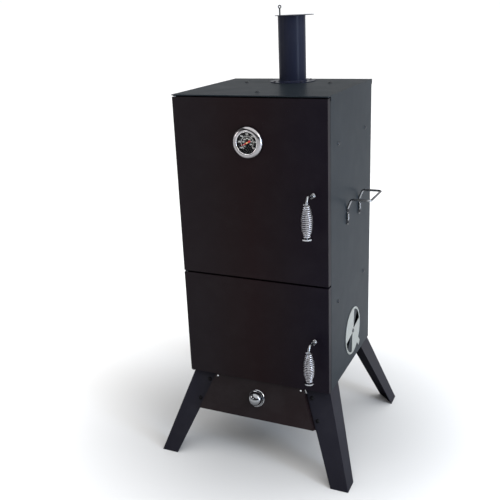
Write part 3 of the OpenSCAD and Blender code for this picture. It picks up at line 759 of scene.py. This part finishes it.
class SMOKER_OT_enamel(bpy.types.Operator):
    """Black enamel on doors, cabinet, legs and chimney"""

    bl_idname = "smoker.enamel"
    bl_label = "Enamel"

    def execute(self, context):
        # One black enamel in lit and shaded copies, tinted part by part as painted light: darker
        # and warmer on the doors and panel, paler and bluer on the cabinet, bluest on the chimney
        # for its cool reflection.
        tints = context.scene.smoker_finishes
        front = tuple(tints.front)
        side = tuple(tints.cabinet)
        legs = tuple(tints.legs)
        flue = tuple(tints.flue)
        warm = (front[0] * 1.25, front[1] * 1.1, front[2] * 1.1)
        painted_shading = [tuple(c * k for c, k in zip(front, scale)) for scale in DOOR_PAINTED_SHADING]
        door = enamel("door_enamel", front, warm, 0.34, 0.012, 0.045, painted_shading)
        panel = enamel("panel_enamel", front, warm, 0.36, 0.03, 0.11)
        paler_side = tuple(c * 1.12 for c in side)
        cabinet = enamel("cabinet_enamel", side, paler_side, 0.34, 0.015, 0.03)
        paler_legs = tuple(c * 1.2 for c in legs)
        leg = enamel("leg_enamel", legs, paler_legs, 0.36, 0.03, 0.04)
        paler_flue = tuple(c * 1.3 for c in flue)
        chimney = enamel("flue_enamel", flue, paler_flue, 0.24, 0.03, 0.045)
        dress(in_slot("door_enamel"), door)
        dress([n for n in in_slot("cabinet_enamel") if n != "control_panel"], cabinet)
        dress(["control_panel"], panel)
        dress(in_slot("leg_enamel"), leg)
        dress(in_slot("flue_enamel"), chimney)
        dress(in_slot("dark_bolts"), dark_steel("bolt_enamel", (0.02, 0.021, 0.024)))
        round_edges(["upper_door", "lower_door"], tints.edge_round)
        return {"FINISHED"}


class SMOKER_OT_metals(bpy.types.Operator):
    """Chrome, zinc, galvanised, iron and brass parts"""

    bl_idname = "smoker.metals"
    bl_label = "Bright metals"

    def execute(self, context):
        dress(in_slot("chrome"), chrome_plate("chrome"))
        rods = [n for n in SLOT_OF if n.startswith(("cooking_grate", "chip_box_rack"))]
        dress(rods, drawn_wire("chromed_wire"))
        carrying = drawn_wire("handle_wire", (0.21, 0.215, 0.225))
        dress(["side_handle_left", "side_handle_right"], carrying)
        # Latch rods in a darker copy of the wire plate: painted shade, so the rod shows dark
        # through the grips' coil gaps.
        latch = drawn_wire("shaded_latch_wire", (0.22, 0.225, 0.235))
        dress(["upper_latch_rod", "lower_latch_rod"], latch)
        dress(in_slot("zinc"), zinc_plate("zinc"))
        leg_bolt = dark_steel("leg_bolt_steel", (0.006, 0.006, 0.007), 0.0, 0.02)
        dress(["leg_bolts"], leg_bolt)
        dress(in_slot("galvanised"), galvanised_sheet("galvanised"))
        lid_steel = dark_steel("lid_rod_steel", (0.012, 0.012, 0.015), 0.3)
        dress(["lid_rod", "lid_sleeve"], lid_steel)
        flange_screw = dark_steel("flange_screw_steel", (0.008, 0.008, 0.012), 0.1, 0.1)
        dress(["flange_screws"], flange_screw)
        handle_bolt = dark_steel("handle_bolt_steel", (0.010, 0.010, 0.012), 0.2, 0.15)
        dress(["side_handle_bolts"], handle_bolt)
        dress(in_slot("rivet_steel"), dark_steel("rivet_steel", (0.04, 0.04, 0.042)))
        dress(in_slot("iron"), cast_iron("cast_iron"))
        dress(in_slot("brass"), machined_brass("brass"))
        dress(in_slot("porcelain"), porcelain_pan("porcelain"))
        return {"FINISHED"}


class SMOKER_OT_grips(bpy.types.Operator):
    """Coiled spring grips on the two door handles"""

    bl_idname = "smoker.grips"
    bl_label = "Coiled grips"

    def execute(self, context):
        sizes = context.scene.smoker_grips
        wire = drawn_wire("coil_wire", (0.42, 0.42, 0.45))
        for door in ("upper", "lower"):
            node = f"{door}_grip"
            low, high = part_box(node)
            coil = self.coil(low, high, sizes.turns, sizes.wire)
            piece = new_piece(f"{door}_coil_grip", coil, f"{door}_handle", wire)
            smooth(piece, 60)
            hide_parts(node)
        return {"FINISHED"}

    def coil(self, low, high, turns, wire):
        """Helix that follows the barrel's outline from its foot to its neck."""
        middle = (low + high) / 2
        widest = (high.x - low.x) / 2
        length = high.z - low.z
        steps = int(turns * GRIP_STEPS)
        path = []
        for k in range(steps + 1):
            t = k / steps
            for (t0, r0), (t1, r1) in zip(GRIP_OUTLINE, GRIP_OUTLINE[1:]):
                if t0 <= t <= t1:
                    reach = r0 + (r1 - r0) * (t - t0) / (t1 - t0)
            radius = reach * widest - wire
            angle = TURN * turns * t
            rise = wire + (length - 2 * wire) * t
            x = middle.x + radius * math.cos(angle)
            y = middle.y + radius * math.sin(angle)
            path.append((x, y, low.z + rise))
        bm = bmesh.new()
        sweep(bm, path, wire, sides=COIL_SIDES)
        return bm


class SMOKER_OT_fixings(bpy.types.Operator):
    """Springs on the latch rods, screws on the control panel and the knob"""

    bl_idname = "smoker.fixings"
    bl_label = "Small fixings"

    def execute(self, context):
        wire = drawn_wire("spring_wire", (0.22, 0.225, 0.235))
        for door in ("upper", "lower"):
            low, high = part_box(f"{door}_latch_bush")
            bm = bmesh.new()
            sweep(bm, self.spring((low + high) / 2, low.y), SPRING_WIRE, sides=COIL_SIDES)
            spring = new_piece(f"{door}_latch_spring", bm, f"{door}_handle", wire)
            smooth(spring, 60)
        self.knob()
        self.screws()
        return {"FINISHED"}

    def spring(self, middle, front):
        """Path of a latch spring, from the bush towards the grip."""
        path = []
        steps = SPRING_TURNS * SPRING_STEPS
        for k in range(steps + 1):
            a = TURN * SPRING_TURNS * k / steps
            x = middle.x + SPRING_RADIUS * math.cos(a)
            z = middle.z + SPRING_RADIUS * math.sin(a)
            path.append((x, front - SPRING_WIRE - SPRING_LENGTH * k / steps, z))
        return path

    def screws(self):
        """Two bright screws near the control panel's upper corners."""
        heads = bmesh.new()
        head = [(r * MM, h * MM) for r, h in SCREW_HEAD]
        for side in (-1, 1):
            foot = Vector((side * SCREW_X, 0, 0)) + PANEL_SCREW
            lathe(heads, head, foot, PANEL_OUT, steps=28)
        zinc = zinc_plate("screw_zinc", (0.66, 0.67, 0.68), 0.2)
        screws = new_piece("panel_screws", heads, "cabinet", zinc)
        smooth(screws, 50)

    def knob(self):
        """Fully domed control knob with the index rib on its skirt."""
        foot = PANEL_TOP - PANEL_UP * KNOB_DOWN + PANEL_OUT * KNOB_PROUD
        rim = list(KNOB_SKIRT)
        for k in range(1, DOME_STEPS + 1):
            a = math.pi / 2 * k / DOME_STEPS
            reach = DOME_RADIUS * math.cos(a) if k < DOME_STEPS else 0
            rim.append((reach, DOME_FOOT + DOME_RISE * math.sin(a)))
        bm = bmesh.new()
        lathe(bm, [(r * MM, h * MM) for r, h in rim], foot, PANEL_OUT)
        turn = Matrix((Vector((1, 0, 0)), PANEL_UP, PANEL_OUT)).transposed()
        for corner in bmesh.ops.create_cube(bm, size=1)["verts"]:
            corner.co = foot + turn @ (RIB_MIDDLE + corner.co * RIB_SIZE) * MM
        chrome = chrome_plate("knob_chrome", (0.20, 0.205, 0.215), 0.09)
        knob = new_piece("domed_knob", bm, "gas_knob", chrome)
        smooth(knob, 40)
        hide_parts("control_knob")


class SMOKER_OT_dial(bpy.types.Operator):
    """Dial print, pointer and glass of the thermometer"""

    bl_idname = "smoker.dial"
    bl_label = "Thermometer"

    def execute(self, context):
        sizes = context.scene.smoker_dial
        body = "upper_door_body"
        dial_black = printed("dial_black", (0.004, 0.004, 0.0045), 0.5, 0.04)
        dress(["thermometer_dial"], dial_black)
        pointer_red = printed("pointer_red", (0.62, 0.018, 0.015), 0.35)
        dress(["thermometer_needle"], pointer_red)
        dress(["thermometer_glass"], gauge_glass("gauge_glass"))
        low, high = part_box("thermometer_dial")
        middle = (low + high) / 2
        face = low.y - PRINT_PROUD
        reach = (high.x - low.x) / 2
        radius = reach * DIAL_PRINT
        self.bezel(middle, body)
        self.window_ring(middle, reach, body)
        white = printed("dial_white", (0.82, 0.82, 0.80), 0.5)
        marks = self.marks(sizes, middle, face, radius)
        new_piece("dial_marks", marks, body, white)
        for name, texts in self.numerals(sizes, radius).items():
            self.print_numerals(name, texts, middle, face, white, body)
        self.rivet(middle)
        return {"FINISHED"}

    def rivet(self, middle):
        """Low brass rivet that holds the pointer, clear of the glass."""
        needle_low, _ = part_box("thermometer_needle")
        foot = (middle.x, needle_low.y + RIVET_SUNK, middle.z)
        rivet = bmesh.new()
        lathe(rivet, [(r * MM, h * MM) for r, h in RIVET_HEAD], foot, (0, -1, 0), steps=32)
        brass = machined_brass("rivet_brass")
        piece = new_piece("pointer_rivet", rivet, "thermometer_pointer", brass)
        smooth(piece, 50)

    def bezel(self, middle, body):
        """Rounded bezel in place of the plain turned one."""
        _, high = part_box("thermometer_bezel")
        foot = (middle.x, high.y, middle.z)
        bm = bmesh.new()
        lathe(bm, [(r * MM, h * MM) for r, h in BEZEL_RIM], foot, (0, -1, 0), closed=True)
        chrome = chrome_plate("bezel_chrome", (0.27, 0.262, 0.27), 0.16)
        bezel = new_piece("rounded_bezel", bm, body, chrome)
        smooth(bezel, 40)
        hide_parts("thermometer_bezel")

    def window_ring(self, middle, reach, body):
        """Ring that frames the window inside the bezel, its chrome much paler than the other plate:
        a painted highlight on the bezel's inner lip.
        """
        front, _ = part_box("thermometer_glass")
        foot = (middle.x, front.y - RING_GAP - RING_WIRE, middle.z)
        profile = []
        for k in range(12):
            a = TURN * k / 12
            radius = reach - RING_INSET + RING_WIRE * math.cos(a)
            profile.append((radius, RING_WIRE * math.sin(a)))
        bm = bmesh.new()
        lathe(bm, profile, foot, (0, -1, 0), closed=True)
        # Painted highlight: pale chrome standing for the light caught on the bezel's inner lip.
        chrome = chrome_plate("lip_highlight_chrome", (0.66, 0.65, 0.66), 0.12)
        ring = new_piece("window_ring", bm, body, chrome)
        smooth(ring, 60)

    def angle_of(self, sizes, fahrenheit):
        """Angle of a temperature on the dial, from the right, anticlockwise."""
        return sizes.first_angle - sizes.sweep * (fahrenheit - DIAL_LOW) / DIAL_SPAN

    def marks(self, sizes, middle, face, radius):
        """Ticks of both scales and the ring between them."""
        bm = bmesh.new()

        def bar(angle, inner, outer, width):
            along = Vector((math.cos(angle), 0, math.sin(angle)))
            across = Vector((-math.sin(angle), 0, math.cos(angle))) * width / 2
            base = Vector((middle.x, face, middle.z))
            corners = [
                base + along * inner - across,
                base + along * outer - across,
                base + along * outer + across,
                base + along * inner + across,
            ]
            bm.faces.new([bm.verts.new(c) for c in corners])

        ring = radius * SCALE_RING
        for value in range(DIAL_LOW, DIAL_LOW + DIAL_SPAN + 1, 10):
            reach = TEN_TICK
            if value % 50 == 0:
                reach = FIFTY_TICK
            if value % 100 == 0:
                reach = HUNDRED_TICK
            width = TEN_LINE if value % 100 else HUNDRED_LINE
            bar(self.angle_of(sizes, value), ring, ring + radius * reach, width)
        for celsius in range(40, 371, 10):
            reach = CELSIUS_LONG if celsius % 50 == 0 else CELSIUS_SHORT
            angle = self.angle_of(sizes, celsius * 1.8 + 32)
            bar(angle, ring - radius * reach, ring, CELSIUS_LINE)
        inner, outer = ring - RING_HALF, ring + RING_HALF
        for k in range(RING_STEPS):
            a0 = self.angle_of(sizes, DIAL_LOW + DIAL_SPAN * k / RING_STEPS)
            a1 = self.angle_of(sizes, DIAL_LOW + DIAL_SPAN * (k + 1) / RING_STEPS)
            quad = []
            for angle, r in ((a0, inner), (a0, outer), (a1, outer), (a1, inner)):
                x = middle.x + r * math.cos(angle)
                z = middle.z + r * math.sin(angle)
                quad.append(bm.verts.new((x, face, z)))
            bm.faces.new(quad)
        bmesh.ops.recalc_face_normals(bm, faces=bm.faces)
        return bm

    def numerals(self, sizes, radius):
        """Text, angle, place and height of each group of numerals."""
        height = sizes.numeral
        outer = []
        for value in range(100, 701, 100):
            angle = self.angle_of(sizes, value)
            outer.append((str(value), angle, radius * OUTER_PLACE, height * OUTER_SIZE))
        inner = []
        for celsius in range(50, 351, 50):
            angle = self.angle_of(sizes, celsius * 1.8 + 32)
            inner.append((str(celsius), angle, radius * INNER_PLACE, height * INNER_SIZE))
        units = [
            ("°C", UNIT_ANGLE, radius * UNIT_C_PLACE, height * UNIT_SIZE),
            ("°F", UNIT_ANGLE, radius * UNIT_F_PLACE, height * UNIT_SIZE),
        ]
        return {"outer_numerals": outer, "inner_numerals": inner, "unit_letters": units}

    def print_numerals(self, name, texts, middle, face, material, body):
        """One flat mesh of a group of numerals."""
        bm = bmesh.new()
        for text, angle, reach, size in texts:
            curve = bpy.data.curves.new("numeral", "FONT")
            curve.body = text
            curve.size = size * TEXT_SCALE
            curve.align_x = "CENTER"
            curve.align_y = "CENTER"
            curve.offset = TEXT_WEIGHT
            letter = bpy.data.objects.new("numeral", curve)
            bpy.context.scene.collection.objects.link(letter)
            shown = bpy.context.evaluated_depsgraph_get()
            flat = bpy.data.meshes.new_from_object(letter.evaluated_get(shown))
            x = middle.x + reach * math.cos(angle)
            z = middle.z + reach * math.sin(angle)
            upright = Matrix.Rotation(math.pi / 2, 4, "X")
            flat.transform(Matrix.Translation((x, face, z)) @ upright)
            bm.from_mesh(flat)
            bpy.data.objects.remove(letter)
            bpy.data.curves.remove(curve)
            bpy.data.meshes.remove(flat)
        new_piece(name, bm, body, material)


class SMOKER_OT_stage(bpy.types.Operator):
    """Pale floor, soft lights and the camera"""

    bl_idname = "smoker.stage"
    bl_label = "Studio"

    def execute(self, context):
        setup = context.scene.smoker_studio
        self.floor(setup)
        self.lights()
        self.camera(context, setup)
        return {"FINISHED"}

    def floor(self, setup):
        """Wide sheet just below the feet."""
        bm = bmesh.new()
        half = FLOOR_HALF
        corners = [(-half, -half, 0), (half, -half, 0), (half, half, 0), (-half, half, 0)]
        bm.faces.new([bm.verts.new(c) for c in corners])
        paper = studio_floor("floor_paper", tuple(setup.floor), FLOOR_SHADE_REACH)
        ground = new_piece("studio_floor", bm, None, paper)
        ground.location.z = -FLOOR_DROP

    def lights(self):
        self.world()
        self.sun("sky_panel", (0.25, -0.1, 1.0), 3.5, 100)
        self.area("key", (2.6, -1.2, 2.6), (0, 0, 0.5), 1.2, 26, (1.0, 0.98, 0.95))
        self.area("side", (3.0, 0.7, 1.3), (0.2, 0, 0.6), 1.4, 16, (0.85, 0.93, 1.0))
        self.area("catch", (-1.1, -2.5, 1.15), (0, -0.2, 0.3), 0.3, 3.0, (1, 1, 1))
        self.area("front_left", (-2.6, -1.6, 1.5), (-0.2, 0, 0.7), 0.9, 12, (1.0, 0.94, 0.92))
        strip = self.area("strip", (2.85, -0.93, 1.0), (0.0, 0.1, 0.8), 0.5, 62, (0.66, 0.80, 1.0))
        strip.shape = "RECTANGLE"
        strip.size_y = 1.7

    def world(self):
        """White band at the horizon, dim overhead and on the near side."""
        world = bpy.data.worlds.new("studio")
        world.use_nodes = True
        tree = world.node_tree
        glow = tree.nodes["Background"]
        look = tree.nodes.new("ShaderNodeTexCoord")
        split = tree.nodes.new("ShaderNodeSeparateXYZ")
        tree.links.new(look.outputs["Generated"], split.inputs["Vector"])

        def ramp(axis, low, high, to_low, to_high):
            step = tree.nodes.new("ShaderNodeMapRange")
            step.interpolation_type = "SMOOTHSTEP"
            limits = {"From Min": low, "From Max": high, "To Min": to_low, "To Max": to_high}
            for key, value in limits.items():
                step.inputs[key].default_value = value
            tree.links.new(split.outputs[axis], step.inputs["Value"])
            return step.outputs["Result"]

        def join(operation, first, second):
            made = tree.nodes.new("ShaderNodeMath")
            made.operation = operation
            tree.links.new(first, made.inputs[0])
            tree.links.new(second, made.inputs[1])
            return made.outputs["Value"]

        band = ramp("Z", 0.09, 0.15, 1.06, 0.0)
        height = ramp("Z", 0.06, 0.30, 1.06, 0.26)
        flag = ramp("Y", -0.75, -0.1, 0.12, 1.0)
        strength = join("MAXIMUM", band, join("MULTIPLY", height, flag))
        tree.links.new(strength, glow.inputs["Strength"])
        glow.inputs["Color"].default_value = (0.97, 0.985, 1.0, 1)
        bpy.context.scene.world = world

    def sun(self, name, towards, strength, spread):
        """Broad even light that whitens the whole floor."""
        light = bpy.data.lights.new(name, "SUN")
        light.energy = strength
        light.angle = math.radians(spread)
        lamp = bpy.data.objects.new(name, light)
        lamp.rotation_euler = Vector(towards).to_track_quat("Z", "Y").to_euler()
        bpy.context.scene.collection.objects.link(lamp)

    def area(self, name, place, target, size, power, colour):
        """Square softbox aimed at a point."""
        light = bpy.data.lights.new(name, "AREA")
        light.shape = "SQUARE"
        light.size = size
        light.energy = power
        light.color = colour
        lamp = bpy.data.objects.new(name, light)
        lamp.location = place
        lamp.rotation_euler = (Vector(target) - Vector(place)).to_track_quat("-Z", "Y").to_euler()
        bpy.context.scene.collection.objects.link(lamp)
        return light

    def camera(self, context, setup):
        """Camera at its place, turned by azimuth, pitch and roll."""
        az, pitch, roll = setup.azimuth, setup.pitch, setup.roll
        level = Vector((math.sin(az), -math.cos(az), 0)) * math.cos(pitch)
        back = level + Vector((0, 0, math.sin(pitch)))
        right = (-back).cross(Vector((0, 0, 1))).normalized()
        up = right.cross(-back)
        across = right * math.cos(roll) + up * math.sin(roll)
        upward = -right * math.sin(roll) + up * math.cos(roll)
        lens = bpy.data.cameras.new("camera")
        lens.sensor_width = 36
        lens.lens = setup.lens
        lens.clip_start = 0.05
        eye = bpy.data.objects.new("camera", lens)
        turn = Matrix((across, upward, back)).transposed().to_4x4()
        eye.matrix_world = Matrix.Translation(Vector(setup.place)) @ turn
        context.scene.collection.objects.link(eye)
        context.scene.camera = eye
        context.scene.view_settings.view_transform = "Standard"
        context.scene.view_settings.look = "None"


class SMOKER_PT_panel(bpy.types.Panel):
    """Lists the smoker's steps and sizes"""

    bl_label = "Smoker"
    bl_idname = "SMOKER_PT_panel"
    bl_space_type = "VIEW_3D"
    bl_region_type = "UI"
    bl_category = "Smoker"

    def draw(self, context):
        for group in GROUPS:
            box = self.layout.box()
            settings = getattr(context.scene, group)
            for key in settings.__annotations__:
                box.prop(settings, key)
        for operator in OPERATORS:
            self.layout.operator(operator.bl_idname)


GROUPS = {
    "smoker_finishes": SmokerFinishes,
    "smoker_grips": SmokerGrips,
    "smoker_dial": SmokerDial,
    "smoker_studio": SmokerStudio,
}
OPERATORS = (
    SMOKER_OT_stage,
    SMOKER_OT_enamel,
    SMOKER_OT_metals,
    SMOKER_OT_grips,
    SMOKER_OT_fixings,
    SMOKER_OT_dial,
)


def register():
    for group in GROUPS.values():
        bpy.utils.register_class(group)
    for operator in OPERATORS:
        bpy.utils.register_class(operator)
    bpy.utils.register_class(SMOKER_PT_panel)
    for name, group in GROUPS.items():
        setattr(bpy.types.Scene, name, bpy.props.PointerProperty(type=group))


def unregister():
    for name in GROUPS:
        delattr(bpy.types.Scene, name)
    bpy.utils.unregister_class(SMOKER_PT_panel)
    for operator in reversed(OPERATORS):
        bpy.utils.unregister_class(operator)
    for group in reversed(list(GROUPS.values())):
        bpy.utils.unregister_class(group)


def main():
    register()
    bpy.ops.smoker.stage()
    bpy.ops.smoker.enamel()
    bpy.ops.smoker.metals()
    bpy.ops.smoker.grips()
    bpy.ops.smoker.fixings()
    bpy.ops.smoker.dial()


if __name__ == "__main__":
    main()
